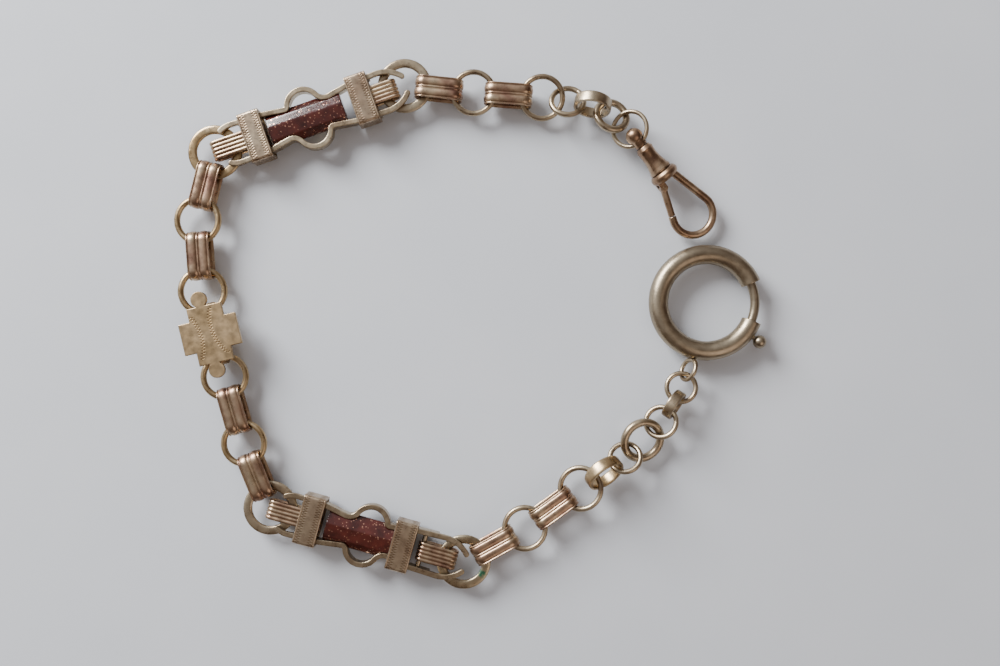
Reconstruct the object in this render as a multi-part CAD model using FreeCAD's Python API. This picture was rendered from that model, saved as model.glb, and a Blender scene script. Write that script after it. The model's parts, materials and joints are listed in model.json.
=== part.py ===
import FreeCAD, Part
import math
import os

# Pocket watch chain, laid on a flat surface as an open loop.  Millimetres, +Z up.
# Root piece: the cross-shaped plate in the middle of the chain.  One arm of links runs from it
# to the dog clip that takes the watch, the other to the spring ring that goes on the waistcoat.
# The origin is the middle of the lay, on the surface that it rests on.

V = FreeCAD.Vector
Z_AXIS = V(0, 0, 1)

# ---- the cross plate -------------------------------------------------------------------------
CROSS_PLACE = (-45.89, -1.84)             # middle of the plate, from the middle of the lay
CROSS_HEADING = 103.4                   # direction of the plate's long axis, degrees from +X
CROSS_SPAN = 10.3                       # tip to tip, both ways
CROSS_LONG_ARM = 6.2                    # width of the arm along the heading
CROSS_SIDE_ARM = 5.6                    # width of the arm across it
CROSS_THICK = 0.75
CROSS_DISC = 2.85                       # round tabs at the two ends of the long axis
CROSS_DISC_REACH = 6.4
CROSS_DISC_SIDES = (0.6, 0.3)           # how far each tab stands off the long axis
CROSS_LOOP = (11.4, 2.6, 3.6)           # plain loop under the plate: length, width, height

# ---- rings -----------------------------------------------------------------------------------
# round wire: outer diameter, wire diameter
ROUND_RINGS = {
    "large": (8.75, 1.12),
    "medium": (8.5, 1.1),
    "small": (8.3, 1.0),
    "jump": (6.8, 1.0),
    "thick": (6.9, 1.3),
    "heavy": (8.4, 1.5),
    "light": (6.4, 0.95),
    "end": (6.0, 0.9),
    "swivel": (7.0, 0.8),
    "eye": (4.6, 0.8),
}
# bands: outer diameter, thickness outwards, width along the ring's own axis
BAND_RINGS = {
    "flat": (9.7, 1.6, 0.8),
    "bracket": (6.7, 0.6, 1.9),
    "wide": (7.2, 0.7, 2.0),
    "narrow": (5.4, 0.6, 1.8),
}
BAND_CORNER = 0.16

# ---- reeded strap links ----------------------------------------------------------------------
# length, width, height
STRAPS = {
    "strap": (8.9, 4.1, 3.6),
    "strap_small": (8.8, 3.9, 3.6),
    "bar_loop": (7.5, 3.5, 2.4),
}
STRAP_WALL = 0.42
RIB_RISE = 0.18                         # a rib's height over the groove beside it
RIM_WIDTH = 0.32                        # plain rim along each edge
RIM_RISE = 0.1
RIDGE_WIDTH = 0.5                       # narrow ridge between the two ribs
BAR_LOOP_RIBS = 5

# ---- the lay ---------------------------------------------------------------------------------
# Each row is the next link of an arm, going out from the cross: name, kind, heading from the
# link before, slack, roll about the heading, rise of the far end, lift off the surface
CLIP_ARM = [
    ("ring_1", "large", 105, 0.3, 6, 0, 0),
    ("strap_1", "strap", 94, 0.2, 90, 0, 0),
    ("ring_2", "large", 94, 0.2, -5, 0, 0),
    ("strap_2", "strap", 76, 0.2, 90, 0, 0),
    ("flat_ring_1", "flat", 76, 0.3, 0, 0, 0),
    ("bar", "bar", 19.3, 0.0, 0, 0, 0),
    ("flat_ring_2", "flat", 19.3, 0.0, 0, 0, 0),
    ("strap_3", "strap_small", -6, 0.4, 90, 0, 0),
    ("ring_3", "small", -6, 0.2, 5, 0, 0),
    ("strap_4", "strap_small", -4, 0.2, 90, 0, 0),
    ("ring_4", "small", -4, 0.4, 12, 0, 0),
    ("jump_ring", "jump", -10, 0.95, -24, 6, 0.4),
    ("bracket_ring", "bracket", -11, 0.5, 76, 0, 0),
    ("thick_ring", "thick", -27, 0.8, -24, -4, 0.6),
    ("swivel_ring", "swivel", -38, 0.8, 18, 18, 0),
]
SPRING_ARM = [
    ("ring_1", "medium", -76, 0.3, -6, 0, 0),
    ("strap_1", "strap", -74, 0.2, 90, 0, 0),
    ("ring_2", "medium", -74, 0.2, 5, 0, 0),
    ("strap_2", "strap", -68, 0.2, 90, 0, 0),
    ("flat_ring_1", "flat", -68, 0.3, 0, 0, 0),
    ("bar", "bar", -15.6, 0.0, 0, 0, 0),
    ("flat_ring_2", "flat", -15.6, 0.0, 0, 0, 0),
    ("strap_3", "strap_small", 29, 0.3, 90, 0, 0),
    ("ring_3", "small", 29, 0.2, -6, 0, 0),
    ("strap_4", "strap_small", 36, 0.2, 90, 0, 0),
    ("ring_4", "small", 36, 0.45, -12, 8, 0.4),
    ("wide_ring", "wide", 36, 0.85, 56, 0, 0),
    ("light_ring_1", "light", 34, 0.3, -34, -6, 0.7),
    ("heavy_ring", "heavy", 43, 0.55, 22, 0, 0),
    ("light_ring_2", "light", 45, 0.3, -26, 4, 0.2),
    ("narrow_ring", "narrow", 56, 0.3, 70, 0, 0),
    ("end_ring", "end", 64, 0.7, -8, -4, 0.3),
    ("eye", "eye", 68, 0.15, -66, 0, 0),
]
RING_REST = 1.9                         # usual height of a ring's centre above the surface
SWIVEL_REST = 3.02                      # the swivel ring is lifted by the clip's ball

# ---- stone bars ------------------------------------------------------------------------------
BAR_REST = 1.9                          # height of a bar's middle above the surface
BAR_RING_DROP = 0.3                     # the flat rings lie this much under the bar's middle
BAR_RING_REACH = 18.0                   # bar centre to flat ring centre
PIN_PLACES = (-11.9, 10.2)              # bar centre to the near and the far cross pin
PIN_RADIUS = 0.45
PIN_LENGTH = 5.6
STRIP_THICK = 0.95
STRIP_HEIGHT = 1.9
STRIP_END_START = 12.5                  # beyond this the strips are cut low, to pass the ring
STRIP_END_FLOOR = 0.22
STONE_LENGTH = 14.0
STONE_WIDTH = 6.1
STONE_TOP = 1.3
STONE_SHIFT = -0.5                      # the stone sits a little towards the near end
STONE_RIDGE = 0.5                       # sideways place of the ridge along the stone
STONE_FIT = 0.03
CUFF_SIZE = (4.0, 9.0, 3.8)             # along the bar, across it, high
CUFF_WALL = (0.4, 0.38)                 # side and top walls
CUFF_CORNER = 0.5
CUFF_PLACES = {"clip": (-10.0, 10.1), "spring": (-10.4, 6.6)}
TURNED_BAR = "spring"                   # this bar lies the other way up

# ---- dog clip: s runs along the clip from the swivel ball's centre ---------------------------
CLIP_HEADING = -50.0
CLIP_FALL = 8.0                         # the nose points down by this many degrees
BALL_RADIUS = 1.5
NECK_RADIUS = 1.15
HOLE_S = 1.5                            # where the swivel ring's wire crosses the neck
BORE_S = 1.38                           # the straight bore round that bent wire
BORE_RADIUS = 0.6
NECK_S = 2.15
SPINDLE_RADIUS = 0.5
SPINDLE_HEAD = (0.8, 6.0, 6.5)          # radius, start and end of the spindle's riveted head
BARREL_S = (2.25, 7.7)
COLLAR_S = (7.75, 9.6)
COLLAR_RADIUS = 2.62
HOOK_WIRE = 0.7                         # radius
HOOK_ROUND_S = 17.5
HOOK_ROUND_SIDE = -0.35
HOOK_RADIUS = 3.7
HOOK_ROOT = (8.9, 1.35)
GATE_PIN_PLACE = (10.4, -1.62)
GATE_PIN_RADIUS = 0.22
GATE_WIRE = 0.62
GATE_LENGTH = 5.3
GATE_GAP = 0.08
CHEEK_INNER = 0.7
CHEEK_OUTER = 1.1
CHEEK_RADIUS = 0.62

# ---- spring ring -----------------------------------------------------------------------------
SPRING_RING_HEADING = 74.4
SPRING_RING_REACH = 12.45               # eye centre to ring centre
TUBE_CENTRE = 8.65
TUBE_RADIUS = 1.75
TUBE_BORE = 0.9
BOLT_RADIUS = 0.83
GAP_TOP = 23.5                          # the gap's two ends, degrees from +X
GAP_BOTTOM = -22.2
BOLT_TOP = 27.0
BOLT_TAIL = -48.0
COIL_FRONT = -97.0
COIL_BACK = -150.0
COIL_TURNS = 16
COIL_WIRE = 0.13
KNOB_ANGLE = -36.5
KNOB_RADIUS = 1.2
KNOB_REACH = 11.8
STEM_RADIUS = 0.42
SLOT_FRONT = -33.3
SLOT_BACK = -87.5
SLOT_HALF = 0.5

RUN_FIT = 0.05                          # radial clearance of a running fit


# ---- frames ----------------------------------------------------------------------------------
def frame_at(centre, heading, roll=0.0, rise=0.0):
    """A link's own frame: X along the chain, Z the ring's axis when the roll is zero."""
    turn = FreeCAD.Rotation(Z_AXIS, heading)
    lift = FreeCAD.Rotation(V(0, 1, 0), -rise)
    lean = FreeCAD.Rotation(V(1, 0, 0), roll)
    return FreeCAD.Placement(V(*centre), turn.multiply(lift).multiply(lean))


def put(shape, frame):
    placed = shape.copy()
    placed.Placement = frame.multiply(placed.Placement)
    return placed


def heading_vector(heading, rise=0.0):
    turn, lift = math.radians(heading), math.radians(rise)
    return V(math.cos(lift) * math.cos(turn), math.cos(lift) * math.sin(turn), math.sin(lift))


# ---- rings and straps, each in its own frame -------------------------------------------------
def round_ring(kind):
    outer, wire = ROUND_RINGS[kind]
    return Part.makeTorus((outer - wire) / 2, wire / 2)


def rounded_section(low, high, half, corner):
    """A rounded rectangle in the XZ plane, x from low to high, z from -half to half."""
    in_x, out_x = low + corner, high - corner
    in_z = half - corner
    arc = corner * math.sqrt(0.5)
    runs = [
        Part.makeLine(V(in_x, 0, -half), V(out_x, 0, -half)),
        Part.Arc(V(out_x, 0, -half), V(out_x + arc, 0, -in_z - arc), V(high, 0, -in_z)).toShape(),
        Part.makeLine(V(high, 0, -in_z), V(high, 0, in_z)),
        Part.Arc(V(high, 0, in_z), V(out_x + arc, 0, in_z + arc), V(out_x, 0, half)).toShape(),
        Part.makeLine(V(out_x, 0, half), V(in_x, 0, half)),
        Part.Arc(V(in_x, 0, half), V(in_x - arc, 0, in_z + arc), V(low, 0, in_z)).toShape(),
        Part.makeLine(V(low, 0, in_z), V(low, 0, -in_z)),
        Part.Arc(V(low, 0, -in_z), V(in_x - arc, 0, -in_z - arc), V(in_x, 0, -half)).toShape(),
    ]
    return Part.Face(Part.Wire(runs))


def band_ring(kind):
    outer, thick, width = BAND_RINGS[kind]
    section = rounded_section(outer / 2 - thick, outer / 2, width / 2, BAND_CORNER)
    return section.revolve(V(0, 0, 0), Z_AXIS, 360)


def rib_arc(start, end, base, rise):
    middle = V(0, (start + end) / 2, base + rise)
    return Part.Arc(V(0, start, base), middle, V(0, end, base)).toShape()


def two_rib_top(half, base):
    """The outer face of a strap: rim, rib, narrow ridge, rib, rim, from -half to half."""
    rim = base + RIM_RISE
    rib_out = half - RIM_WIDTH
    rib_in = RIDGE_WIDTH / 2
    return [
        Part.makeLine(V(0, -half, rim), V(0, -rib_out, rim)),
        Part.makeLine(V(0, -rib_out, rim), V(0, -rib_out, base)),
        rib_arc(-rib_out, -rib_in, base, RIB_RISE),
        rib_arc(-rib_in, rib_in, base, RIB_RISE / 2),
        rib_arc(rib_in, rib_out, base, RIB_RISE),
        Part.makeLine(V(0, rib_out, base), V(0, rib_out, rim)),
        Part.makeLine(V(0, rib_out, rim), V(0, half, rim)),
    ]


def many_rib_top(half, base, count):
    pitch = 2 * half / count
    starts = [-half + n * pitch for n in range(count)]
    return [rib_arc(start, start + pitch, base, RIB_RISE) for start in starts]


def loop_from_section(section, length, height):
    """Carry a section in the YZ plane round a flat-sided loop that lies along X."""
    reach = length / 2 - height / 2
    near = section.copy()
    near.translate(V(-reach, 0, 0))
    far = section.copy()
    far.translate(V(reach, 0, 0))
    top = near.extrude(V(2 * reach, 0, 0))
    far_end = far.revolve(V(reach, 0, 0), V(0, 1, 0), 180)
    bottom = top.rotated(V(0, 0, 0), V(0, 1, 0), 180)
    near_end = far_end.rotated(V(0, 0, 0), V(0, 1, 0), 180)
    return top.fuse([far_end, bottom, near_end]).removeSplitter()


def reeded_strap(kind, ribs):
    length, width, height = STRAPS[kind]
    half, outer = width / 2, height / 2
    inner = outer - STRAP_WALL
    base = outer - RIB_RISE
    crown = two_rib_top(half, base) if ribs == 2 else many_rib_top(half, base, ribs)
    first, last = crown[0].Vertexes[0].Point, crown[-1].Vertexes[-1].Point
    walls = [
        Part.makeLine(V(0, half, last.z), V(0, half, inner)),
        Part.makeLine(V(0, half, inner), V(0, -half, inner)),
        Part.makeLine(V(0, -half, inner), V(0, -half, first.z)),
    ]
    section = Part.Face(Part.Wire(crown + walls))
    return loop_from_section(section, length, height)


def plain_loop(length, width, height):
    half, outer = width / 2, height / 2
    corners = [V(0, -half, outer), V(0, half, outer), V(0, half, outer - STRAP_WALL)]
    corners += [V(0, -half, outer - STRAP_WALL), V(0, -half, outer)]
    section = Part.Face(Part.makePolygon(corners))
    return loop_from_section(section, length, height)


# ---- the walk along an arm -------------------------------------------------------------------
def inner_radius(kind):
    if kind in ROUND_RINGS:
        outer, wire = ROUND_RINGS[kind]
        return outer / 2 - wire
    outer, thick, _ = BAND_RINGS[kind]
    return outer / 2 - thick


def cross_width(kind, roll):
    """How wide a link is across the wire that it hangs on."""
    if kind in STRAPS:
        return STRAPS[kind][1]
    if kind in BAND_RINGS and abs(roll) > 45:
        return BAND_RINGS[kind][2]
    return 0.0


def reach(kind, other_width):
    """Centre of a link to the place where its neighbour pulls on it."""
    if kind in STRAPS:
        return STRAPS[kind][0] / 2 - STRAP_WALL
    return math.sqrt(inner_radius(kind) ** 2 - (other_width / 2) ** 2)


def rest_height(kind, roll, rise):
    if kind in STRAPS:
        return STRAPS[kind][2] / 2
    if kind == "bar":
        return BAR_REST
    if kind == "flat":
        return BAR_REST - BAR_RING_DROP
    if kind == "swivel":
        return SWIVEL_REST
    tilt = math.acos(math.cos(math.radians(roll)) * math.cos(math.radians(rise)))
    if kind in ROUND_RINGS:
        outer, wire = ROUND_RINGS[kind]
        half = (outer - wire) / 2 * math.sin(tilt) + wire / 2
    else:
        outer, _, width = BAND_RINGS[kind]
        half = outer / 2 * math.sin(tilt) + width / 2 * math.cos(tilt)
    return max(RING_REST, half)


def walk(rows):
    """Place every link of an arm; returns name, kind and frame of each, in order."""
    place = V(CROSS_PLACE[0], CROSS_PLACE[1], 0)
    before_kind, before_width = None, CROSS_LOOP[1]
    before_reach = CROSS_LOOP[0] / 2 - STRAP_WALL
    links = []
    for name, kind, heading, slack, roll, rise, lift in rows:
        width = cross_width(kind, roll)
        if "bar" in (kind, before_kind):
            step = BAR_RING_REACH
        elif before_kind is None:
            step = before_reach + reach(kind, before_width) - slack
        else:
            step = reach(before_kind, width) + reach(kind, before_width) - slack
        place = place + heading_vector(heading) * step
        centre = V(place.x, place.y, rest_height(kind, roll, rise) + lift)
        links.append((name, kind, frame_at(centre, heading, roll, rise)))
        before_kind, before_width = kind, width
    return links


# ---- bars ------------------------------------------------------------------------------------
def strip_path(short_side):
    """Centre line of one side strip: an arch beside the stone, one short end, one hooked end."""
    def line(a, b):
        return Part.makeLine(V(*a, 0), V(*b, 0))

    def arc(a, b, c):
        return Part.Arc(V(*a, 0), V(*b, 0), V(*c, 0)).toShape()

    short, hooked = ((14.7, 3.4), (15.7, 3.0)), ((16.3, 2.95), (18.1, 1.6))
    left, right = (short, hooked) if short_side < 0 else (hooked, short)
    return Part.Wire([
        arc((-left[1][0], left[1][1]), (-left[0][0], left[0][1]), (-13.6, 3.5)),
        line((-13.6, 3.5), (-8.1, 3.35)),
        line((-8.1, 3.35), (-3.7, 2.75)),
        arc((-3.7, 2.75), (-3.2, 2.95), (-3.0, 3.4)),
        arc((-3.0, 3.4), (-0.1, 5.3), (2.5, 3.6)),
        arc((2.5, 3.6), (3.5, 2.65), (4.9, 2.6)),
        line((4.9, 2.6), (8.6, 3.3)),
        line((8.6, 3.3), (13.6, 3.5)),
        arc((13.6, 3.5), right[0], right[1]),
    ])


def side_strip(turned_over, short_side):
    outline = strip_path(short_side).makeOffset2D(STRIP_THICK / 2, 0, False, False)
    blank = Part.Face(outline).extrude(V(0, 0, STRIP_HEIGHT))
    blank.translate(V(0, 0, -STRIP_HEIGHT / 2))
    if turned_over:
        blank.rotate(V(0, 0, 0), V(1, 0, 0), 180)
    ends = []
    for side in (-1, 1):
        cutter = Part.makeBox(8, 16, STRIP_HEIGHT, V(0, -8, STRIP_END_FLOOR - STRIP_HEIGHT))
        cutter.translate(V(STRIP_END_START if side > 0 else -STRIP_END_START - 8, 0, 0))
        ends.append(cutter)
    return blank.cut(ends)


def bar_strips(turned_over):
    """Both strips; their short ends are at the bar's near end."""
    first = side_strip(turned_over, -1)
    second = side_strip(turned_over, 1).rotated(V(0, 0, 0), Z_AXIS, 180)
    return [first, second]


def bar_pins():
    pins = []
    for place in PIN_PLACES:
        start = V(place, -PIN_LENGTH / 2, 0)
        pins.append(Part.makeCylinder(PIN_RADIUS, PIN_LENGTH, start, V(0, 1, 0)))
    return pins


def bar_stone(turned_over):
    """A long facetted prism: sharp sides, sloping facets and a ridge along the top."""
    half = STONE_WIDTH / 2
    corners = [
        (-half, 0.25), (-half + 1.2, 0.95), (STONE_RIDGE, STONE_TOP), (half - 1.1, 0.9),
        (half, 0.2), (half, -0.4), (half - 1.3, -STONE_TOP + 0.1), (-half + 1.3, -STONE_TOP + 0.1),
        (-half, -0.4), (-half, 0.25),
    ]
    outline = Part.makePolygon([V(0, y, z) for y, z in corners])
    stone = Part.Face(outline).extrude(V(STONE_LENGTH, 0, 0))
    stone.translate(V(STONE_SHIFT - STONE_LENGTH / 2, 0, 0))
    room = strip_path(-1).makeOffset2D(STRIP_THICK / 2 + STONE_FIT, 0, False, False)
    groove = Part.Face(room).extrude(V(0, 0, 4))
    groove.translate(V(0, 0, -2))
    if turned_over:
        groove.rotate(V(0, 0, 0), V(1, 0, 0), 180)
    stone = stone.cut([groove, groove.rotated(V(0, 0, 0), Z_AXIS, 180)])
    return max(stone.Solids, key=lambda piece: piece.Volume)


def bar_cuff():
    length, width, height = CUFF_SIZE
    side, top = CUFF_WALL
    outer = Part.makeBox(length, width, height, V(-length / 2, -width / 2, -height / 2))
    along = [edge for edge in outer.Edges if abs(edge.tangentAt(edge.FirstParameter).x) > 0.9]
    outer = outer.makeFillet(CUFF_CORNER, along)
    start = V(-length, -width / 2 + side, -height / 2 + top)
    inner = Part.makeBox(2 * length, width - 2 * side, height - 2 * top, start)
    return outer.cut(inner)


def bar_loop_frame(side):
    length = STRAPS["bar_loop"][0]
    middle = length / 2 - STRAP_WALL - PIN_RADIUS - RUN_FIT
    pin = PIN_PLACES[0] if side < 0 else PIN_PLACES[1]
    return FreeCAD.Placement(V(pin + side * middle, 0, 0), FreeCAD.Rotation())


# ---- cross -----------------------------------------------------------------------------------
def cross_plate():
    base = CROSS_LOOP[2]
    long_arm = Part.makeBox(CROSS_SPAN, CROSS_LONG_ARM, CROSS_THICK)
    long_arm.translate(V(-CROSS_SPAN / 2, -CROSS_LONG_ARM / 2, 0))
    side_arm = Part.makeBox(CROSS_SIDE_ARM, CROSS_SPAN, CROSS_THICK)
    side_arm.translate(V(-CROSS_SIDE_ARM / 2, -CROSS_SPAN / 2, 0))
    plate = long_arm.fuse(side_arm)
    for side, offset in zip((1, -1), CROSS_DISC_SIDES):
        place = V(side * CROSS_DISC_REACH, offset, 0)
        plate = plate.fuse(Part.makeCylinder(CROSS_DISC / 2, CROSS_THICK, place))
    plate = plate.removeSplitter()
    plate.translate(V(0, 0, base))
    return plate


def cross_loop():
    loop = plain_loop(*CROSS_LOOP)
    loop.translate(V(0, 0, CROSS_LOOP[2] / 2))
    return loop


# ---- dog clip --------------------------------------------------------------------------------
def turned(points):
    """Turn an outline of (s, radius) points about the clip's own axis."""
    outline = [V(s, r, 0) for s, r in points]
    outline = [V(points[0][0], 0, 0)] + outline + [V(points[-1][0], 0, 0)]
    kept = [p for n, p in enumerate(outline) if n == 0 or (p - outline[n - 1]).Length > 1e-6]
    face = Part.Face(Part.makePolygon(kept + [kept[0]]))
    return face.revolve(V(0, 0, 0), V(1, 0, 0), 360)


def swivel_head(ring_frame, clip_frame):
    """Ball, neck, spindle and riveted head turned in one, with the bore for the swivel ring."""
    radius, start, end = SPINDLE_HEAD
    meet = math.sqrt(BALL_RADIUS ** 2 - NECK_RADIUS ** 2)
    crown = (meet - BALL_RADIUS) / 2
    bulge = math.sqrt(BALL_RADIUS ** 2 - crown ** 2)
    ball = Part.Arc(V(-BALL_RADIUS, 0, 0), V(crown, 0, -bulge), V(meet, 0, -NECK_RADIUS))
    steps = [
        (meet, NECK_RADIUS),
        (NECK_S, NECK_RADIUS),
        (NECK_S, SPINDLE_RADIUS),
        (start, SPINDLE_RADIUS),
        (start, radius),
        (end, radius),
        (end, 0),
        (-BALL_RADIUS, 0),
    ]
    corners = [V(s, 0, -reach) for s, reach in steps]
    outline = [ball.toShape()] + [Part.makeLine(a, b) for a, b in zip(corners, corners[1:])]
    face = Part.Face(Part.Wire(outline))
    whole = put(face.revolve(V(0, 0, 0), V(1, 0, 0), 360), clip_frame)
    centre = clip_frame.multVec(V(BORE_S, 0, 0))
    axis = ring_frame.Rotation.multVec(Z_AXIS)
    along = axis.cross(centre - ring_frame.Base).normalize()
    reach = BALL_RADIUS * 2
    bore = Part.makeCylinder(BORE_RADIUS, reach * 2, centre - along * reach, along)
    return whole.cut(bore)


def barrel():
    first, last = BARREL_S
    outside = turned([
        (first, 1.0), (first + 0.1, 1.25), (first + 0.8, 1.6), (first + 1.0, 1.5),
        (first + 2.2, 1.45), (first + 3.4, 1.55), (first + 4.5, 1.8), (last - 0.25, 2.05),
        (last, 2.0),
    ])
    bore = Part.makeCylinder(SPINDLE_RADIUS + RUN_FIT, 10, V(0, 0, 0), V(1, 0, 0))
    radius, start, end = SPINDLE_HEAD
    pocket = Part.makeCylinder(radius + RUN_FIT, last - start + RUN_FIT, V(start - RUN_FIT, 0, 0), V(1, 0, 0))
    return outside.cut([bore, pocket])


def hook_points():
    """Tangent points of the hook's two straight sides on its round end."""
    centre = V(HOOK_ROUND_S, HOOK_ROUND_SIDE, 0)
    tangents = []
    for root, side in ((V(*HOOK_ROOT, 0), 1), (V(*GATE_PIN_PLACE, 0), -1)):
        gap = centre - root
        turn = math.atan2(gap.y, gap.x) + side * math.asin(HOOK_RADIUS / gap.Length)
        run = math.sqrt(gap.Length ** 2 - HOOK_RADIUS ** 2)
        tangents.append(root + V(math.cos(turn), math.sin(turn), 0) * run)
    return centre, tangents[0], tangents[1]


def rod(start, end, radius):
    run = end - start
    return Part.makeCylinder(radius, run.Length, start, run)


def arc_rod(centre, radius, wire, start_angle, sweep):
    """A round rod bent in the XY plane about centre, angles in degrees."""
    angle = math.radians(start_angle)
    place = centre + V(math.cos(angle), math.sin(angle), 0) * radius
    tangent = V(-math.sin(angle), math.cos(angle), 0)
    face = Part.Face(Part.Wire(Part.makeCircle(wire, place, tangent)))
    return face.revolve(centre, Z_AXIS, sweep)


def clip_hook():
    centre, near, far = hook_points()
    root = V(*HOOK_ROOT, 0)
    pin = V(*GATE_PIN_PLACE, 0)
    angle_near = math.degrees(math.atan2(near.y - centre.y, near.x - centre.x))
    angle_far = math.degrees(math.atan2(far.y - centre.y, far.x - centre.x))
    sweep = angle_far - angle_near
    shank = rod(root, near, HOOK_WIRE)
    bow = arc_rod(centre, HOOK_RADIUS, HOOK_WIRE, angle_near, sweep)
    along = (far - pin).normalize()
    nose_end = pin + along * (GATE_LENGTH + GATE_GAP)
    nose = rod(far, nose_end, HOOK_WIRE)
    hook = shank.fuse([bow, nose]).removeSplitter()
    return hook.cut(collar_blank())


def collar_blank():
    first, last = COLLAR_S
    middle = (first + last) / 2
    return turned([
        (first, 1.9), (first + 0.18, 2.3), (middle - 0.3, 2.58), (middle, COLLAR_RADIUS),
        (middle + 0.3, 2.58), (last - 0.18, 2.3), (last, 1.95),
    ])


def gate_spring_place():
    return V(COLLAR_S[1] - 1.0, GATE_PIN_PLACE[1], 0)


def collar():
    blank = collar_blank()
    pin = V(*GATE_PIN_PLACE, 0)
    for side in (-1, 1):
        low = CHEEK_INNER if side > 0 else -CHEEK_OUTER
        depth = CHEEK_OUTER - CHEEK_INNER
        eye = Part.makeCylinder(CHEEK_RADIUS, depth, V(pin.x, pin.y, low))
        arm = Part.makeBox(pin.x - COLLAR_S[1] + 0.3, 2 * CHEEK_RADIUS, depth)
        arm.translate(V(COLLAR_S[1] - 0.3, pin.y - CHEEK_RADIUS, low))
        blank = blank.fuse([eye, arm])
    pin_hole = Part.makeCylinder(GATE_PIN_RADIUS, 4, V(pin.x, pin.y, -2))
    well = rod(gate_spring_place(), gate_spring_place() + V(1.5, 0, 0), 0.42)
    return blank.removeSplitter().cut([pin_hole, well])


def gate():
    pin = V(*GATE_PIN_PLACE, 0)
    along = (hook_points()[2] - pin).normalize()
    arm = rod(pin, pin + along * GATE_LENGTH, GATE_WIRE)
    boss = Part.makeCylinder(0.7, 2 * CHEEK_INNER - 2 * RUN_FIT, pin - V(0, 0, CHEEK_INNER - RUN_FIT))
    hole = Part.makeCylinder(GATE_PIN_RADIUS + RUN_FIT, 4, pin - V(0, 0, 2))
    return arm.fuse(boss).cut(hole)


def gate_pin():
    pin = V(*GATE_PIN_PLACE, -CHEEK_OUTER)
    return Part.makeCylinder(GATE_PIN_RADIUS, 2 * CHEEK_OUTER, pin)


def gate_spring():
    """Close coils in the collar's well, behind the gate's heel."""
    turns = []
    for n in range(4):
        coil = Part.makeTorus(0.28, 0.09, V(0, 0, 0), V(1, 0, 0))
        coil.translate(gate_spring_place() + V(0.12 + 0.2 * n, 0, 0))
        turns.append(coil)
    return turns


# ---- spring ring -----------------------------------------------------------------------------
def ring_arc(radius, wire, start, end):
    return arc_rod(V(0, 0, 0), radius, wire, start, end - start)


def spring_case():
    around = 360 + GAP_BOTTOM
    case = ring_arc(TUBE_CENTRE, TUBE_RADIUS, GAP_TOP, around)
    bore = ring_arc(TUBE_CENTRE, TUBE_BORE, GAP_TOP - 2, around + 2)
    slot_face = Part.Face(Part.makePolygon([
        V(TUBE_CENTRE, 0, -SLOT_HALF), V(TUBE_CENTRE + 3, 0, -SLOT_HALF),
        V(TUBE_CENTRE + 3, 0, SLOT_HALF), V(TUBE_CENTRE, 0, SLOT_HALF),
        V(TUBE_CENTRE, 0, -SLOT_HALF)]))
    slot = slot_face.revolve(V(0, 0, 0), Z_AXIS, SLOT_FRONT - SLOT_BACK)
    slot.rotate(V(0, 0, 0), Z_AXIS, SLOT_BACK)
    return case.cut([bore, slot])


def spring_bolt():
    return ring_arc(TUBE_CENTRE, BOLT_RADIUS, BOLT_TAIL, BOLT_TOP)


def bolt_knob():
    out = heading_vector(KNOB_ANGLE)
    stem = rod(out * TUBE_CENTRE, out * KNOB_REACH, STEM_RADIUS)
    ball = Part.makeSphere(KNOB_RADIUS, out * KNOB_REACH)
    return stem.fuse(ball).cut(spring_bolt())


def bolt_coil():
    step = (COIL_BACK - COIL_FRONT) / (COIL_TURNS - 1)
    turns = []
    for n in range(COIL_TURNS):
        angle = COIL_FRONT + n * step
        place = heading_vector(angle) * TUBE_CENTRE
        along = heading_vector(angle + 90)
        turns.append(Part.makeTorus(0.66, COIL_WIRE, place, along))
    return turns


# ---- the whole chain -------------------------------------------------------------------------
def link_shape(kind):
    if kind in ROUND_RINGS:
        return round_ring(kind)
    if kind in BAND_RINGS:
        return band_ring(kind)
    return reeded_strap(kind, 2)


def link_frame(kind, frame):
    """A strap's loop stands upright: its own frame has no roll."""
    if kind in STRAPS:
        heading = frame.Rotation.multVec(V(1, 0, 0))
        return frame_at(frame.Base, math.degrees(math.atan2(heading.y, heading.x)))
    return frame


def bar_nodes(prefix, frame, places, turned_over):
    nodes = {
        prefix + "strips": [put(strip, frame) for strip in bar_strips(turned_over)],
        prefix + "cross_pins": [put(pin, frame) for pin in bar_pins()],
        prefix + "stone": [put(bar_stone(turned_over), frame)],
    }
    for end, side, place in zip(("near", "far"), (-1, 1), places):
        shift = FreeCAD.Placement(V(place, 0, 0), FreeCAD.Rotation())
        nodes[prefix + "cuff_" + end] = [put(bar_cuff(), frame.multiply(shift))]
        loop = reeded_strap("bar_loop", BAR_LOOP_RIBS)
        nodes[prefix + "loop_" + end] = [put(loop, frame.multiply(bar_loop_frame(side)))]
    return nodes


def arm_nodes(arm, rows):
    nodes = {}
    for name, kind, frame in walk(rows):
        if kind == "bar":
            turned_over = arm == TURNED_BAR
            nodes.update(bar_nodes(arm + "_bar_", frame, CUFF_PLACES[arm], turned_over))
        else:
            nodes[arm + "_" + name] = [put(link_shape(kind), link_frame(kind, frame))]
    return nodes


def clip_frames():
    """Frames of the swivel ring and of the clip that hangs in it."""
    ring = walk(CLIP_ARM)[-1][2]
    along = heading_vector(CLIP_HEADING, -CLIP_FALL)
    normal = ring.Rotation.multVec(Z_AXIS)
    outward = along - normal * along.dot(normal)
    outer, wire = ROUND_RINGS["swivel"]
    hole = ring.Base + outward.normalize() * ((outer - wire) / 2)
    return ring, frame_at(hole - along * HOLE_S, CLIP_HEADING, 0, -CLIP_FALL)


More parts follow.
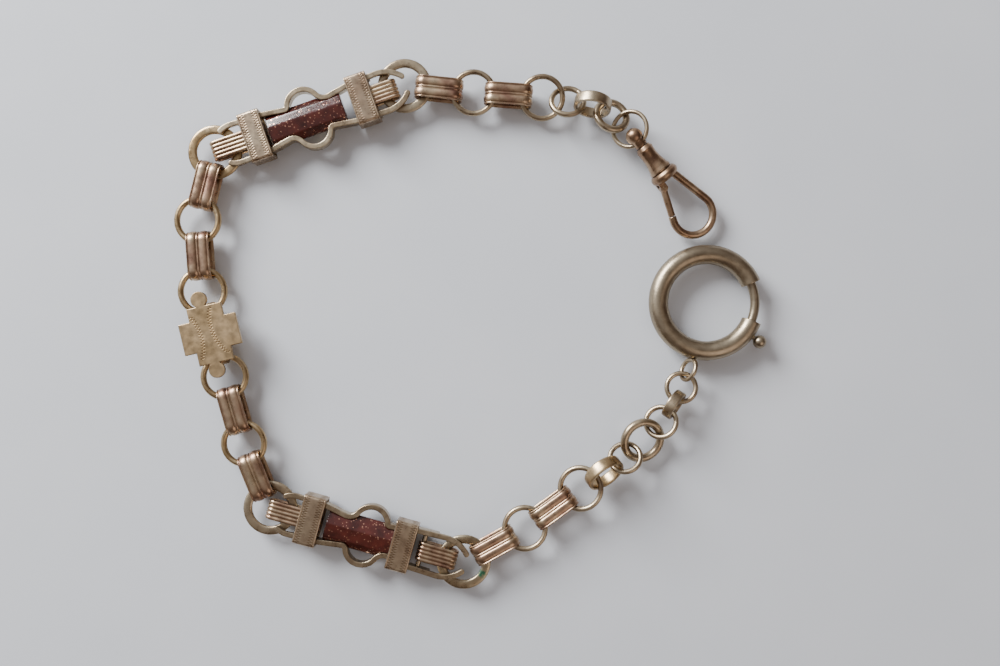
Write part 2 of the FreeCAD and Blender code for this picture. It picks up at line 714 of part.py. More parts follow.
def clip_nodes():
    ring, clip = clip_frames()
    return {
        "clip_swivel_head": [swivel_head(ring, clip)],
        "clip_barrel": [put(barrel(), clip)],
        "clip_collar": [put(collar(), clip)],
        "clip_hook": [put(clip_hook(), clip)],
        "clip_gate": [put(gate(), clip)],
        "clip_gate_pin": [put(gate_pin(), clip)],
        "clip_gate_spring": [put(turn, clip) for turn in gate_spring()],
    }


def spring_ring_frame():
    eye = walk(SPRING_ARM)[-1][2].Base
    centre = eye + heading_vector(SPRING_RING_HEADING) * SPRING_RING_REACH
    return frame_at((centre.x, centre.y, TUBE_RADIUS), 0)


def spring_ring_nodes(eye):
    frame = spring_ring_frame()
    solid_case = put(ring_arc(TUBE_CENTRE, TUBE_RADIUS, GAP_TOP, 360 + GAP_BOTTOM), frame)
    return {
        "spring_eye": [eye.cut(solid_case)],
        "spring_ring_case": [put(spring_case(), frame)],
        "spring_ring_bolt": [put(spring_bolt(), frame)],
        "spring_ring_knob": [put(bolt_knob(), frame)],
        "spring_ring_coil": [put(turn, frame) for turn in bolt_coil()],
    }


def all_nodes():
    cross = frame_at((CROSS_PLACE[0], CROSS_PLACE[1], 0), CROSS_HEADING)
    nodes = {
        "cross_plate": [put(cross_plate(), cross)],
        "cross_loop": [put(cross_loop(), cross)],
    }
    nodes.update(arm_nodes("clip", CLIP_ARM))
    nodes.update(clip_nodes())
    nodes.update(arm_nodes("spring", SPRING_ARM))
    nodes.update(spring_ring_nodes(nodes["spring_eye"][0]))
    return nodes


def write_parts():
    os.makedirs("parts", exist_ok=True)
    for name, solids in all_nodes().items():
        shape = solids[0] if len(solids) == 1 else Part.makeCompound(solids)
        shape.exportStep("parts/" + name + ".step")


if __name__ == "__main__":
    write_parts()
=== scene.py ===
import json
import math

import bpy
import numpy as np
from mathutils import Matrix, Vector


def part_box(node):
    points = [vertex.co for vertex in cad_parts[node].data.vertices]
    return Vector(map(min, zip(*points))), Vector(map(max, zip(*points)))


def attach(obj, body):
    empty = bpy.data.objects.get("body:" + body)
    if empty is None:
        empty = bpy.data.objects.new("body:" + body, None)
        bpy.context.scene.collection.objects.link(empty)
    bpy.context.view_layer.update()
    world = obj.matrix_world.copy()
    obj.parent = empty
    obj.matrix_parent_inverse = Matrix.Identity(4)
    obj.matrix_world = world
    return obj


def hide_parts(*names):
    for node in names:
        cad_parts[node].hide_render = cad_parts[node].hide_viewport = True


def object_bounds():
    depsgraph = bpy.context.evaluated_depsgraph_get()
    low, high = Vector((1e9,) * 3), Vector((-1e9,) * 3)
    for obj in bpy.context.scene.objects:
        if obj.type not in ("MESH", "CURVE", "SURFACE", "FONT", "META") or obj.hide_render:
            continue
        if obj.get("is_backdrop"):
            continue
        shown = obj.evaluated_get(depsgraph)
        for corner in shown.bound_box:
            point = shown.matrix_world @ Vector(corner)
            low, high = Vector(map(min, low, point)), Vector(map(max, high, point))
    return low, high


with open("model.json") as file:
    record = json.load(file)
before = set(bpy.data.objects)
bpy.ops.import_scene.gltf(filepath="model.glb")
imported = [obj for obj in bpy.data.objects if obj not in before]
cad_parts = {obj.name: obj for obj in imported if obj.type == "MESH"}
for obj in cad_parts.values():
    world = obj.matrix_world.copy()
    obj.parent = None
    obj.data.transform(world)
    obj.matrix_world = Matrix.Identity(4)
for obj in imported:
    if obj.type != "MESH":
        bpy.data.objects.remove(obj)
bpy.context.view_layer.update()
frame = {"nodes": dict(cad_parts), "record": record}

# A pocket watch chain: rings, reeded links and stone-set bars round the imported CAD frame.
# Every place comes from the frame's nodes and joints; the sizes below are in millimetres.
MM = 0.001
UP = Vector((0, 0, 1))

RING_STEPS = (128, 28)                  # round the ring, round the wire
BAND_POWER = 5.0                        # squareness of a band ring's section
FLAT_POWER = 3.2                        # the same for a flat ring
WIRE_WAVE = 0.012                       # unevenness of drawn wire, as a share of its radius
SEAM_DEPTH = 0.07                       # solder seam, as a share of the wire's radius
SEAM_WIDTH = 1.6                        # degrees

STRAP_WALL = 0.42
STRAP_UNDER_INSET = 0.08                # the inner face is narrower by this on each side
STRAP_STEPS = (26, 14, 61, 9)           # round a bend, along a flat, across the crown, under it
STRAP_DENT = 0.012                      # unevenness of a link's face
RIB_DEPTH = 0.26                        # depth of the grooves under a link's ribs
RIM = (0.3, 0.6)                        # width and height share of a link's edge bead
WIDE_RIB = (0.34, 0.24)                 # gaps from a wide rib to the link's edge and its middle
CENTRE_RIB = (0.2, 0.62)                # half width and height share of the middle bead
PLAIN_CROWN = (0.06, 6)                 # drop at the edge of a plain band, and its power
LINK_RIBS = 2
LOOP_RIBS = 5
CUFF_CORNER = 0.55
CUFF_WALL = 0.38
CUFF_EDGE = 0.14                        # radius of a cuff's rolled edge
CUFF_STEP = 0.06                        # mesh step that is fine enough for the engraving
CUFF_ZIGZAG = (0.46, 0.38)              # period and half height
CUFF_ZIGZAG_INSET = 0.85                # from the cuff's edge to the middle of the zigzag
CUFF_LINE = (0.36, 0.05, 0.8)           # inset, half width and depth share of the plain line
ENGRAVE_DEPTH = 0.04
ENGRAVE_WIDTH = 0.08                    # half the width of an engraved line
PLATE_FACE = 0.2                        # the plate is engraved within this of its top

VOXEL = {                               # mesh step of the pieces made from a CAD solid
    "cross_plate": 0.06,
    "bar_strips": 0.085,
    "bar_stone": 0.12,
    "swivel_head": 0.05,
    "barrel": 0.06,
    "collar": 0.06,
    "hook": 0.08,
    "gate": 0.06,
    "gate_pin": 0.04,
    "eye": 0.06,
    "ring_case": 0.1,
    "ring_bolt": 0.08,
    "ring_knob": 0.06,
}


# ---- the frame -------------------------------------------------------------------------------
record = frame["record"]
body_of_node = {n: b for b, names in record["behaviour"]["bodies"].items() for n in names}
slot_of_node = {entry["node"]: entry["material_slot"] for entry in record["subparts"]}
joints = {joint["name"]: joint for joint in record["behaviour"]["joints"]}


def joint_place(name):
    return Vector(joints[name]["pos_m"])


def joint_axis(name):
    return Vector(joints[name]["axis"])


def node_points(node):
    mesh = frame["nodes"][node].data
    points = np.empty(len(mesh.vertices) * 3)
    mesh.vertices.foreach_get("co", points)
    return points.reshape(-1, 3)


def middle(node):
    low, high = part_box(node)
    return (Vector(low) + Vector(high)) / 2


def basis(centre, x_axis, z_axis):
    """A 4x4 frame at centre with the given X axis and a Z axis as near as it can be to z_axis."""
    x = Vector(x_axis).normalized()
    y = Vector(z_axis).cross(x).normalized()
    z = x.cross(y)
    turn = Matrix((x, y, z)).transposed().to_4x4()
    return Matrix.Translation(centre) @ turn


def ring_frame(node):
    """Frame and sizes of a ring node: its plane is the one that its points lie nearest to."""
    points = node_points(node)
    centre = np.array(middle(node))
    spread = points - centre
    _, axes = np.linalg.eigh(spread.T @ spread)
    normal = axes[:, 0] if axes[2, 0] >= 0 else -axes[:, 0]
    level = np.array((1.0, 0.0, 0.0)) - normal * normal[0]
    across = spread @ normal
    radial = np.linalg.norm(spread - np.outer(across, normal), axis=1)
    place = basis(Vector(centre), Vector(level), Vector(normal))
    return place, radial.max() / MM, radial.min() / MM, np.abs(across).max() / MM


# ---- mesh making -----------------------------------------------------------------------------
def mesh_piece(name, points, faces, place, engraved=None):
    """A smooth mesh, points in millimetres in its own frame, which stands at place."""
    mesh = bpy.data.meshes.new(name)
    mesh.from_pydata([tuple(p) for p in np.asarray(points) * MM], [], faces)
    mesh.validate()
    mesh.update()
    mesh.polygons.foreach_set("use_smooth", [True] * len(mesh.polygons))
    if engraved is not None:
        cut = mesh.attributes.new("engraved", "FLOAT", "POINT")
        cut.data.foreach_set("value", np.asarray(engraved, dtype=np.float32))
    piece = bpy.data.objects.new(name, mesh)
    bpy.context.scene.collection.objects.link(piece)
    piece.matrix_world = place
    return piece


def settle(piece, node):
    """The piece rides the node's body, takes its finish and hides it."""
    bpy.context.view_layer.update()
    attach(piece, body_of_node[node])
    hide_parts(node)
    piece.data.materials.append(finish_for(node))
    return piece


def grid_faces(rows, columns):
    """Quads of a grid of rows x columns points, closed round both ways."""
    faces = []
    for r in range(rows):
        for c in range(columns):
            r2, c2 = (r + 1) % rows, (c + 1) % columns
            faces.append((r * columns + c, r2 * columns + c, r2 * columns + c2, r * columns + c2))
    return faces


def waves(angle, seed, count=3):
    """A smooth closed wave between about -1 and 1, the same for the same seed."""
    rng = np.random.default_rng(seed)
    total = np.zeros_like(angle)
    for turns in range(2, 2 + count):
        total += np.sin(turns * angle + rng.uniform(0, 2 * math.pi)) / count
    return total


def ring_piece(node, power=2.0):
    """A ring of round wire, or with a higher power of a band with rounded corners."""
    place, outer, inner, half = ring_frame(node)
    around = np.linspace(0, 2 * math.pi, RING_STEPS[0], endpoint=False)
    across = np.linspace(0, 2 * math.pi, RING_STEPS[1], endpoint=False)
    seed = sum(map(ord, node))
    seam = seed % 360
    off_seam = (np.degrees(around) - seam + 180) % 360 - 180
    thin = 1 - SEAM_DEPTH * np.exp(-(off_seam / SEAM_WIDTH) ** 2)
    thin = thin - WIRE_WAVE * (1 + waves(around, seed))
    corner = 2.0 / power
    section_r = np.sign(np.cos(across)) * np.abs(np.cos(across)) ** corner * (outer - inner) / 2
    section_z = np.sign(np.sin(across)) * np.abs(np.sin(across)) ** corner * half
    radius = (outer + inner) / 2 + np.outer(thin, section_r)
    points = np.stack([
        radius * np.cos(around)[:, None],
        radius * np.sin(around)[:, None],
        np.outer(thin, section_z),
    ], axis=-1).reshape(-1, 3)
    return settle(mesh_piece(node + "_made", points, grid_faces(*RING_STEPS), place), node)


def rib(y, start, end):
    """Height from 0 to 1 of a rounded rib between start and end."""
    share = np.clip((2 * y - start - end) / (end - start), -1, 1)
    return np.sqrt(1 - share ** 2)


def strap_crown(half, ribs):
    """Places across a link and how far its face stands under the top of the ribs."""
    y = np.linspace(-half, half, STRAP_STEPS[2])
    if ribs == LINK_RIBS:
        rim, rim_top = RIM
        outside, inside = WIDE_RIB
        bead, bead_top = CENTRE_RIB
        spans = [(-half, -half + rim, rim_top), (half - rim, half, rim_top)]
        spans += [(-bead, bead, bead_top)]
        spans += [(-half + outside, -inside, 1.0), (inside, half - outside, 1.0)]
    elif ribs:
        pitch = 2 * half / ribs
        spans = [(-half + n * pitch, -half + (n + 1) * pitch, 1.0) for n in range(ribs)]
    else:
        drop, power = PLAIN_CROWN
        return y, -drop * (np.abs(y) / half) ** power
    height = np.max([rib(y, a, b) * top for a, b, top in spans], axis=0)
    return y, -RIB_DEPTH * (1 - height)


def strap_piece(node, place, ribs):
    """A reeded band carried round a flat-sided loop that lies along X."""
    bend_steps, flat_steps, _, under_steps = STRAP_STEPS
    spread = node_points(node) - np.array(place.translation)
    points = (np.array(place.inverted())[:3, :3] @ spread.T).T
    length, width, height = np.ptp(points, axis=0) / MM
    crown_y, crown_drop = strap_crown(width / 2, ribs)
    under = width / 2 - STRAP_UNDER_INSET
    section_y = np.concatenate([crown_y, np.linspace(under, -under, under_steps)])
    section_d = np.concatenate([crown_drop, np.full(under_steps, -STRAP_WALL)])
    reach = length / 2 - height / 2
    bend = np.linspace(-math.pi / 2, math.pi / 2, bend_steps)
    flat = np.linspace(-reach, reach, flat_steps + 2)[1:-1]
    stations = [(reach, 0.0, math.cos(a), math.sin(a)) for a in bend]
    stations += [(-x, 0.0, 0.0, 1.0) for x in flat]
    stations += [(-reach, 0.0, -math.cos(a), -math.sin(a)) for a in bend]
    stations += [(x, 0.0, 0.0, -1.0) for x in flat]
    rows = []
    seed = sum(map(ord, node))
    for index, (x, z, out_x, out_z) in enumerate(stations):
        angle = np.array([2 * math.pi * index / len(stations)])
        dent = STRAP_DENT * (1 + float(waves(angle, seed)[0]))
        radius = height / 2 + section_d - dent
        rows.append(np.stack([x + out_x * radius, section_y, z + out_z * radius], axis=-1))
    points = np.concatenate(rows)
    faces = grid_faces(len(stations), len(section_y))
    return settle(mesh_piece(node + "_made", points, faces, place), node)


def worn_piece(node, step, smooth, shape=None):
    """The CAD solid remeshed finely, its edges softened as if by wear."""
    source = frame["nodes"][node]
    piece = bpy.data.objects.new(node + "_made", source.data.copy())
    bpy.context.scene.collection.objects.link(piece)
    piece.data.materials.clear()
    remesh = piece.modifiers.new("remesh", "REMESH")
    remesh.mode = "VOXEL"
    remesh.voxel_size = step * MM
    soften = piece.modifiers.new("soften", "SMOOTH")
    soften.factor = 0.5
    soften.iterations = smooth
    graph = bpy.context.evaluated_depsgraph_get()
    mesh = bpy.data.meshes.new_from_object(piece.evaluated_get(graph))
    piece.modifiers.clear()
    piece.data = mesh
    mesh.polygons.foreach_set("use_smooth", [True] * len(mesh.polygons))
    if shape is not None:
        shape(mesh)
    return settle(piece, node)


# ---- engraving -------------------------------------------------------------------------------
def zigzag(across, along, period, swing):
    """How deep, 0 to 1, a zigzag line is cut at each place of a band that runs along."""
    phase = np.abs((along / period) % 1.0 - 0.5) * 4 - 1
    slope = 4 * swing / period
    distance = np.abs(across - phase * swing) / math.hypot(1, slope)
    return np.clip(1 - distance / ENGRAVE_WIDTH, 0, 1)


# ---- finishes --------------------------------------------------------------------------------
def nodes_of(name):
    material = bpy.data.materials.new(name)
    material.use_nodes = True
    tree = material.node_tree
    return material, tree, tree.nodes["Principled BSDF"]


def add(tree, kind, **values):
    node = tree.nodes.new(kind)
    for key, value in values.items():
        if hasattr(node, key):
            setattr(node, key, value)
        else:
            node.inputs[key.replace("_", " ")].default_value = value
    return node


def ramp(tree, source, *stops):
    node = tree.nodes.new("ShaderNodeValToRGB")
    elements = node.color_ramp.elements
    while len(elements) < len(stops):
        elements.new(0.5)
    for element, (place, colour) in zip(elements, stops):
        element.position = place
        element.color = (*colour, 1) if len(colour) == 3 else colour
    tree.links.new(source, node.inputs["Fac"])
    return node.outputs["Color"]


def grey(value):
    return (value, value, value)


def coordinates(tree):
    """Object coordinates, moved by a different amount for each piece."""
    place = tree.nodes.new("ShaderNodeTexCoord").outputs["Object"]
    random = tree.nodes.new("ShaderNodeObjectInfo").outputs["Random"]
    move = add(tree, "ShaderNodeVectorMath", operation="ADD")
    tree.links.new(place, move.inputs[0])
    tree.links.new(random, move.inputs[1])
    return move.outputs[0]


def noise(tree, place, size, detail=5.0, rough=0.6, stretch=None):
    """Noise whose lumps are about size millimetres across."""
    if stretch:
        scale = add(tree, "ShaderNodeVectorMath", operation="MULTIPLY")
        scale.inputs[1].default_value = stretch
        tree.links.new(place, scale.inputs[0])
        place = scale.outputs[0]
    node = add(tree, "ShaderNodeTexNoise", Scale=1 / (size * MM), Detail=detail, Roughness=rough)
    tree.links.new(place, node.inputs["Vector"])
    return node.outputs["Fac"]


def mix(tree, share, first, second, mode="MIX"):
    node = tree.nodes.new("ShaderNodeMix")
    node.data_type = "RGBA"
    node.blend_type = mode
    for socket, value in (("Factor_Float", share), ("A_Color", first), ("B_Color", second)):
        target = next(s for s in node.inputs if s.identifier == socket)
        if hasattr(value, "is_linked"):
            tree.links.new(value, target)
        else:
            target.default_value = (*value, 1) if isinstance(value, tuple) else value
    return next(s for s in node.outputs if s.identifier == "Result_Color")


def metal(name, bright, worn, tarnish, gloss=(0.24, 0.42), patch=3.4, engraved=False, stain=None):
    """Aged plating, tarnished in random patches; painted shade from ambient occlusion darkens the
    grooves and leaves the open high places bright.
    """
    material, tree, shader = nodes_of(name)
    place = coordinates(tree)
    patches = noise(tree, place, patch, 5.0, 0.55)
    colour = ramp(tree, patches, (0.3, tarnish), (0.48, worn), (0.68, bright))
    specks = ramp(tree, noise(tree, place, 0.4, 3.0), (0.25, grey(0.82)), (0.6, grey(1.0)))
    colour = mix(tree, 0.6, colour, specks, "MULTIPLY")
    # Painted shade: ambient occlusion darkens grooves, hollows and gaps between parts towards
    # brown.
    shade = add(tree, "ShaderNodeAmbientOcclusion", Distance=0.7 * MM, samples=6)
    painted_shade = ramp(tree, shade.outputs["AO"], (0.2, (0.36, 0.27, 0.2)), (0.7, grey(1.0)))
    colour = mix(tree, 0.8, colour, painted_shade, "MULTIPLY")
    if engraved:
        cut = tree.nodes.new("ShaderNodeAttribute")
        cut.attribute_name = "engraved"
        dark = ramp(tree, cut.outputs["Fac"], (0.1, grey(1.0)), (0.8, (0.5, 0.42, 0.34)))
        colour = mix(tree, 1.0, colour, dark, "MULTIPLY")
    if stain:
        colour = mix(tree, stain_mask(tree, place, stain), colour, (0.03, 0.22, 0.13))
    tree.links.new(colour, shader.inputs["Base Color"])
    shader.inputs["Metallic"].default_value = 1.0
    low, high = gloss
    rough = ramp(tree, noise(tree, place, 1.3, 4.0), (0.35, grey(high)), (0.65, grey(low)))
    tree.links.new(rough, shader.inputs["Roughness"])
    scratches = noise(tree, place, 0.5, 4.0, 0.7, (1.0, 9.0, 3.0))
    dents = noise(tree, place, 2.2, 2.0, 0.5)
    first = add(tree, "ShaderNodeBump", Strength=0.16, Distance=0.02 * MM)
    tree.links.new(scratches, first.inputs["Height"])
    second = add(tree, "ShaderNodeBump", Strength=0.3, Distance=0.05 * MM)
    tree.links.new(dents, second.inputs["Height"])
    tree.links.new(first.outputs["Normal"], second.inputs["Normal"])
    tree.links.new(second.outputs["Normal"], shader.inputs["Normal"])
    return material


def stain_mask(tree, place, centre):
    """1 at a ragged spot round centre, in the piece's own millimetres, 0 away from it."""
    own = tree.nodes.new("ShaderNodeTexCoord").outputs["Object"]
    gap = add(tree, "ShaderNodeVectorMath", operation="DISTANCE")
    gap.inputs[1].default_value = [c * MM for c in centre]
    tree.links.new(own, gap.inputs[0])
    ragged = add(tree, "ShaderNodeMath", operation="MULTIPLY_ADD")
    tree.links.new(noise(tree, place, 0.5, 4.0), ragged.inputs[0])
    ragged.inputs[1].default_value = 1.6 * MM
    tree.links.new(gap.outputs["Value"], ragged.inputs[2])
    scaled = add(tree, "ShaderNodeMath", operation="MULTIPLY")
    scaled.inputs[1].default_value = 0.25 / MM
    tree.links.new(ragged.outputs[0], scaled.inputs[0])
    return ramp(tree, scaled.outputs[0], (0.3, grey(0.9)), (0.45, grey(0.0)))


def goldstone():
    """Dark red-brown glass full of small copper flakes."""
    material, tree, shader = nodes_of("goldstone")
    place = coordinates(tree)
    clouds = noise(tree, place, 2.2, 5.0)
    base = ramp(tree, clouds, (0.3, (0.022, 0.0035, 0.003)), (0.7, (0.075, 0.014, 0.01)))
    flakes = add(tree, "ShaderNodeTexVoronoi", Scale=1 / (0.2 * MM))
    tree.links.new(place, flakes.inputs["Vector"])
    split = tree.nodes.new("ShaderNodeSeparateColor")
    tree.links.new(flakes.outputs["Color"], split.inputs["Color"])
    lit = ramp(tree, split.outputs["Red"], (0.955, grey(0.0)), (0.985, grey(1.0)))
    colour = mix(tree, lit, base, (0.75, 0.4, 0.28))
    tree.links.new(colour, shader.inputs["Base Color"])
    tree.links.new(lit, shader.inputs["Metallic"])
    rough = ramp(tree, noise(tree, place, 0.9), (0.3, grey(0.1)), (0.7, grey(0.24)))
    tree.links.new(rough, shader.inputs["Roughness"])
    shader.inputs["Coat Weight"].default_value = 0.35
    shader.inputs["Coat Roughness"].default_value = 0.12
    scuffs = add(tree, "ShaderNodeBump", Strength=0.25, Distance=0.03 * MM)
    tree.links.new(noise(tree, place, 0.8, 4.0, 0.7, (1.0, 4.0, 1.0)), scuffs.inputs["Height"])
    tree.links.new(scuffs.outputs["Normal"], shader.inputs["Normal"])
    return material


VERDIGRIS = (3.2, -2.0, 0.0)            # a green spot on one flat ring, from the ring's middle
FINISHES = {
    "brass": metal("aged_brass", (0.56, 0.43, 0.26), (0.43, 0.31, 0.17), (0.27, 0.18, 0.09)),
    "nickel": metal("worn_nickel", (0.50, 0.42, 0.30), (0.39, 0.31, 0.21), (0.25, 0.18, 0.12)),
    "reeded": metal("reeded_gilt", (0.56, 0.44, 0.30), (0.41, 0.28, 0.19), (0.27, 0.15, 0.11)),
    "brown": metal("brown_plating", (0.46, 0.34, 0.23), (0.33, 0.22, 0.14), (0.20, 0.12, 0.08)),
    "plate": metal("engraved_plate", (0.53, 0.39, 0.23), (0.45, 0.325, 0.185), (0.34, 0.24, 0.13),
                   (0.32, 0.5), 3.8, True),
    "cuff": metal("engraved_cuff", (0.52, 0.42, 0.30), (0.43, 0.33, 0.235), (0.32, 0.23, 0.16),
                  (0.24, 0.4), 4.0, True),
    "satin": metal("satin_nickel", (0.41, 0.345, 0.25), (0.34, 0.28, 0.20), (0.25, 0.20, 0.14),
                   (0.28, 0.42), 7.0),
    "steel": metal("spring_steel", (0.45, 0.45, 0.46), (0.35, 0.34, 0.34), (0.2, 0.18, 0.17)),
    "stained": metal("verdigris_nickel", (0.51, 0.43, 0.30), (0.40, 0.32, 0.21), (0.26, 0.2, 0.13),
                     stain=VERDIGRIS),
    "stone": goldstone(),
}
FINISH_OF_SLOT = {
    "ring": "nickel",
    "reeded": "reeded",
    "flat_ring": "nickel",
    "cross": "plate",
    "bar_frame": "nickel",
    "cuff": "cuff",
    "stone": "stone",
    "clip": "brown",
    "spring_ring": "satin",
    "spring_steel": "steel",
}
FINISH_OF_NODE = {
    "clip_ring_1": "brass",
    "clip_ring_2": "brass",
    "spring_ring_1": "brass",
    "spring_ring_2": "brass",
    "spring_wide_ring": "brass",
    "clip_flat_ring_1": "brass",
    "spring_flat_ring_2": "stained",
}


def finish_for(node):
    return FINISHES[FINISH_OF_NODE.get(node, FINISH_OF_SLOT[slot_of_node[node]])]


# ---- the cross -------------------------------------------------------------------------------
def cross_frame():
    ends = [joint_place(arm + "_ring_1_hinge") for arm in ("clip", "spring")]
    return basis((ends[0] + ends[1]) / 2, ends[0] - ends[1], UP)


# Each band of the plate's engraving is an arc through three points, X along the plate's long
# arm towards the clip's arm of the chain and Y to the side of that.
PLATE_BANDS = [
    ((4.7, -1.1), (0.6, -0.5), (-3.8, -2.4)),
    ((3.6, 2.65), (0.1, 1.6), (-4.3, 2.4)),
]
PLATE_ZIGZAG = (0.5, 0.3)               # period and half height


def arc_through(first, second, third):
    """Centre and radius of the circle through three points."""
    (ax, ay), (bx, by), (cx, cy) = first, second, third
    sides = np.array([[bx - ax, by - ay], [cx - ax, cy - ay]]) * 2
    squares = np.array([bx ** 2 + by ** 2, cx ** 2 + cy ** 2]) - (ax ** 2 + ay ** 2)
    x, y = np.linalg.solve(sides, squares)
    return x, y, math.hypot(ax - x, ay - y)


def engrave_plate(mesh):
    """Two curved zigzag bands down the plate's face."""
    place = cross_frame()
    points = np.empty(len(mesh.vertices) * 3)
    mesh.vertices.foreach_get("co", points)
    points = points.reshape(-1, 3)
    own = ((points - np.array(place.translation)) @ np.array(place)[:3, :3]) / MM
    top = own[:, 2].max()
    cut = np.zeros(len(own))
    for band in PLATE_BANDS:
        x, y, radius = arc_through(*band)
        angle = np.arctan2(own[:, 1] - y, own[:, 0] - x)
        across = np.hypot(own[:, 0] - x, own[:, 1] - y) - radius
        inside = (own[:, 0] < band[0][0]) & (own[:, 0] > band[2][0])
        cut = np.maximum(cut, zigzag(across, angle * radius, *PLATE_ZIGZAG) * inside)
    cut = cut * (own[:, 2] > top - PLATE_FACE)
    attribute = mesh.attributes.new("engraved", "FLOAT", "POINT")
    attribute.data.foreach_set("value", cut.astype(np.float32))
    points[:, 2] -= cut * ENGRAVE_DEPTH * MM
    mesh.vertices.foreach_set("co", points.ravel())
    mesh.update()


# ---- a bar's cuffs ---------------------------------------------------------------------------
def rounded_outline(half_y, half_z, corner, step):
    """Points and outward normals round a rounded rectangle."""
    y, z = half_y - corner, half_z - corner
    corners = [(y, z, 0), (-y, z, 90), (-y, -z, 180), (y, -z, 270)]
    places, normals = [], []
    for index, (y, z, turn) in enumerate(corners):
        for angle in np.radians(np.linspace(turn, turn + 90, 9)):
            places.append((y + corner * math.cos(angle), z + corner * math.sin(angle)))
            normals.append((math.cos(angle), math.sin(angle)))
        next_y, next_z, _ = corners[(index + 1) % 4]
        out = math.radians(turn + 90)
        normal = (math.cos(out), math.sin(out))
        first_y, first_z = places[-1]
        gap_y = next_y + corner * normal[0] - first_y
        gap_z = next_z + corner * normal[1] - first_z
        count = int(math.hypot(gap_y, gap_z) / step)
        for share in np.linspace(0, 1, count + 1)[1:-1]:
            places.append((first_y + share * gap_y, first_z + share * gap_z))
            normals.append(normal)
    return np.array(places), np.array(normals)


def cuff_piece(node, place):
    """A flat sleeve with a zigzag engraved along both edges, rolled edges and a plain middle."""
    own = (node_points(node) - np.array(place.translation)) @ np.array(place)[:3, :3] / MM
    line_inset, line_half, line_depth = CUFF_LINE
    low, high = own.min(axis=0), own.max(axis=0)
    half_x, half_y, half_z = (high - low) / 2
    centre = place @ Vector(((low + high) / 2) * MM)
    outline, normals = rounded_outline(half_y, half_z, CUFF_CORNER, CUFF_STEP)
    flat_x = half_x - CUFF_EDGE
    bends = np.radians(np.linspace(0, 90, 5))
    rolled = [(math.cos(b) * CUFF_EDGE, (math.sin(b) - 1) * CUFF_EDGE) for b in bends[:-1]]
    profile = [(-flat_x - reach, drop) for reach, drop in rolled]
    profile += [(x, 0.0) for x in np.arange(-flat_x, flat_x + 1e-6, CUFF_STEP)]
    profile += [(flat_x + reach, drop) for reach, drop in rolled[::-1]]
    profile += [(x, -CUFF_WALL) for x in np.linspace(half_x, -half_x, 5)]
    run = np.concatenate([[0], np.cumsum(np.linalg.norm(np.diff(outline, axis=0), axis=1))])
    rows, cuts = [], []
    for x, drop in profile:
        cut = np.zeros(len(outline))
        if drop == 0.0:
            for side in (-1, 1):
                across = np.full(len(outline), x - side * (half_x - CUFF_ZIGZAG_INSET))
                cut = np.maximum(cut, zigzag(across, run, *CUFF_ZIGZAG))
            line = abs(abs(x) - (half_x - line_inset)) < line_half
            cut = np.maximum(cut, line_depth * line)
        depth = drop - cut * ENGRAVE_DEPTH
        flat = outline + normals * np.reshape(depth, (-1, 1))
        rows.append(np.column_stack([np.full(len(outline), x), flat]))
        cuts.append(cut)
    here = place.copy()
    here.translation = centre
    faces = grid_faces(len(profile), len(outline))
    points, cuts = np.concatenate(rows), np.concatenate(cuts)
    return settle(mesh_piece(node + "_made", points, faces, here, cuts), node)


# ---- building --------------------------------------------------------------------------------
def strap_frame(node, next_joint):
    """A link's frame, from its middle and the hinge of the ring after it."""
    side = joint_axis(next_joint)
    ahead = joint_place(next_joint) - middle(node)
    ahead -= side * ahead.dot(side)
    return basis(middle(node), ahead, UP)


def bar_frame(arm):
    near = joint_place(arm + "_bar_hinge")
    far = joint_place(arm + "_bar_loop_far_hinge")
    return basis((near + far) / 2, far - near, UP)


def build_arm(arm):
    """One arm's links, rings and bar, as far as the last ring before its fitting."""
    for first, second in (("strap_1", "ring_2"), ("strap_2", "flat_ring_1"),
                          ("strap_3", "ring_3"), ("strap_4", "ring_4")):
        node = arm + "_" + first
        strap_piece(node, strap_frame(node, arm + "_" + second + "_hinge"), LINK_RIBS)
    for name in ("ring_1", "ring_2", "ring_3", "ring_4"):
        ring_piece(arm + "_" + name)
    for name in ("flat_ring_1", "flat_ring_2"):
        ring_piece(arm + "_" + name, FLAT_POWER)
    bar = bar_frame(arm)
    for end in ("near", "far"):
        node = arm + "_bar_loop_" + end
        here = bar.copy()
        here.translation = middle(node)
        strap_piece(node, here, LOOP_RIBS)
        cuff_piece(arm + "_bar_cuff_" + end, bar)
    worn_piece(arm + "_bar_strips", VOXEL["bar_strips"], 4)
    worn_piece(arm + "_bar_stone", VOXEL["bar_stone"], 2)


def build():
    loop_place = cross_frame()
    loop_place.translation = middle("cross_loop")
    strap_piece("cross_loop", loop_place, 0)
    worn_piece("cross_plate", VOXEL["cross_plate"], 4, engrave_plate)
    for arm in ("clip", "spring"):
        build_arm(arm)
    for node in ("clip_jump_ring", "clip_thick_ring", "clip_swivel_ring", "spring_light_ring_1",
                 "spring_light_ring_2", "spring_heavy_ring", "spring_end_ring"):
        ring_piece(node)
    for node in ("clip_bracket_ring", "spring_wide_ring", "spring_narrow_ring"):
        ring_piece(node, BAND_POWER)
    for name in ("swivel_head", "barrel", "collar", "hook", "gate", "gate_pin"):
        worn_piece("clip_" + name, VOXEL[name], 3)
    for name in ("eye", "ring_case", "ring_bolt", "ring_knob"):
        worn_piece("spring_" + name, VOXEL[name], 3)
    for node in ("clip_bar_cross_pins", "spring_bar_cross_pins", "clip_gate_spring",
                 "spring_ring_coil"):
        shown = frame["nodes"][node]
        shown.data.materials.clear()
        shown.data.materials.append(finish_for(node))
        shown.data.polygons.foreach_set("use_smooth", [True] * len(shown.data.polygons))


# ---- studio ----------------------------------------------------------------------------------
FLOOR_REACH = 1.6                       # metres from the middle to the floor's edge
LENS = 32.4                             # millimetres, on a 36 mm sensor
EYE = (5.4, -1.64, 164.0)               # camera from the middle of the lay on the floor, in mm


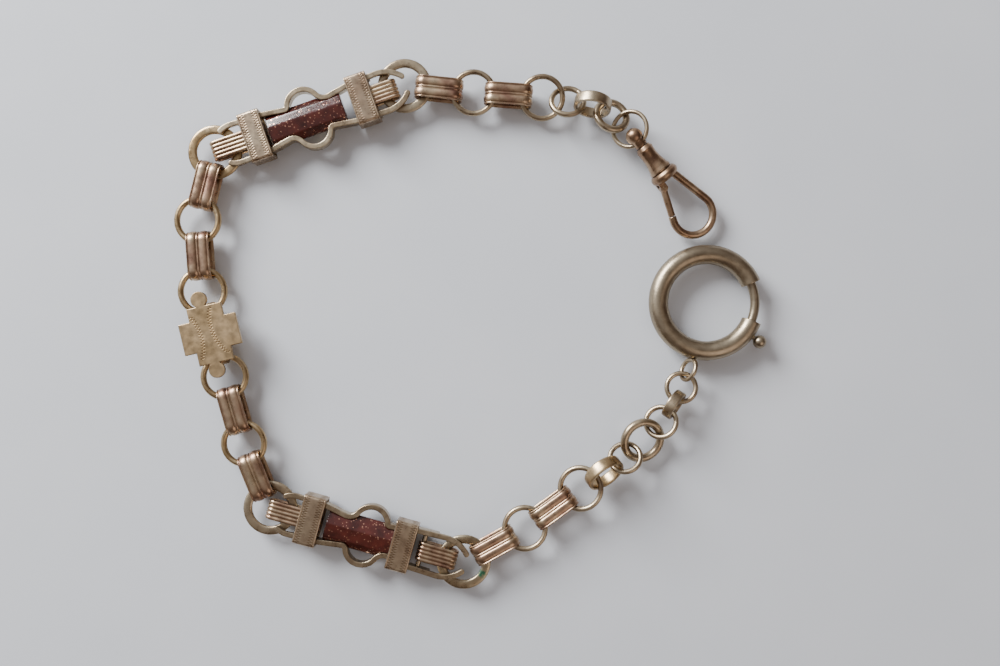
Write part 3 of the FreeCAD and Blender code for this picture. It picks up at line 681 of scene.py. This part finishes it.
def area(name, place, size, power, colour):
    """A round soft lamp that faces the middle of the lay."""
    lamp = bpy.data.lights.new(name, "AREA")
    lamp.shape = "DISK"
    lamp.size = size
    lamp.energy = power
    lamp.color = colour
    holder = bpy.data.objects.new(name, lamp)
    holder.location = place
    holder.rotation_mode = "QUATERNION"
    holder.rotation_quaternion = (-Vector(place)).to_track_quat("-Z", "Y")
    bpy.context.scene.collection.objects.link(holder)


def studio():
    """A pale floor, a large lamp at the upper left, a weak warm one opposite and a soft sky."""
    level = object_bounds()[0].z
    reach = FLOOR_REACH
    corners = [(-reach, -reach, level), (reach, -reach, level), (reach, reach, level),
               (-reach, reach, level)]
    mesh = bpy.data.meshes.new("floor")
    mesh.from_pydata(corners, [], [(0, 1, 2, 3)])
    floor = bpy.data.objects.new("floor", mesh)
    bpy.context.scene.collection.objects.link(floor)
    material, tree, shader = nodes_of("pale_floor")
    place = tree.nodes.new("ShaderNodeTexCoord").outputs["Object"]
    clouds = noise(tree, place, 40.0, 3.0)
    tone = ramp(tree, clouds, (0.3, (0.60, 0.64, 0.70)), (0.7, (0.64, 0.675, 0.73)))
    tree.links.new(tone, shader.inputs["Base Color"])
    shader.inputs["Roughness"].default_value = 0.9
    mesh.materials.append(material)
    floor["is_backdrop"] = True

    area("key", (-0.40, 0.40, 0.30), 0.34, 9.5, (1.0, 0.99, 0.98))
    area("fill", (0.30, -0.30, 0.45), 0.5, 0.8, (1.0, 0.86, 0.76))

    world = bpy.data.worlds.new("soft")
    bpy.context.scene.world = world
    world.use_nodes = True
    tree = world.node_tree
    tone = tree.nodes["Background"]
    place = tree.nodes.new("ShaderNodeTexCoord").outputs["Generated"]
    lean = add(tree, "ShaderNodeVectorMath", operation="DOT_PRODUCT")
    lean.inputs[1].default_value = (-0.55, 0.6, 0.58)
    tree.links.new(place, lean.inputs[0])
    colour = ramp(tree, lean.outputs["Value"], (0.0, (0.16, 0.11, 0.085)),
                  (0.45, (0.34, 0.27, 0.22)), (0.85, (0.85, 0.86, 0.9)))
    tree.links.new(colour, tone.inputs["Color"])
    tone.inputs["Strength"].default_value = 0.75


def camera():
    """Straight down on the lay, a little to the right of its middle."""
    low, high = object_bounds()
    centre = (low + high) / 2
    across, along, above = EYE
    lens = bpy.data.cameras.new("camera")
    lens.lens = LENS
    lens.sensor_width = 36.0
    lens.clip_start, lens.clip_end = 0.005, 10.0
    holder = bpy.data.objects.new("camera", lens)
    holder.location = (centre.x + across * MM, centre.y + along * MM, low.z + above * MM)
    bpy.context.scene.collection.objects.link(holder)
    bpy.context.scene.camera = holder


build()
studio()
camera()
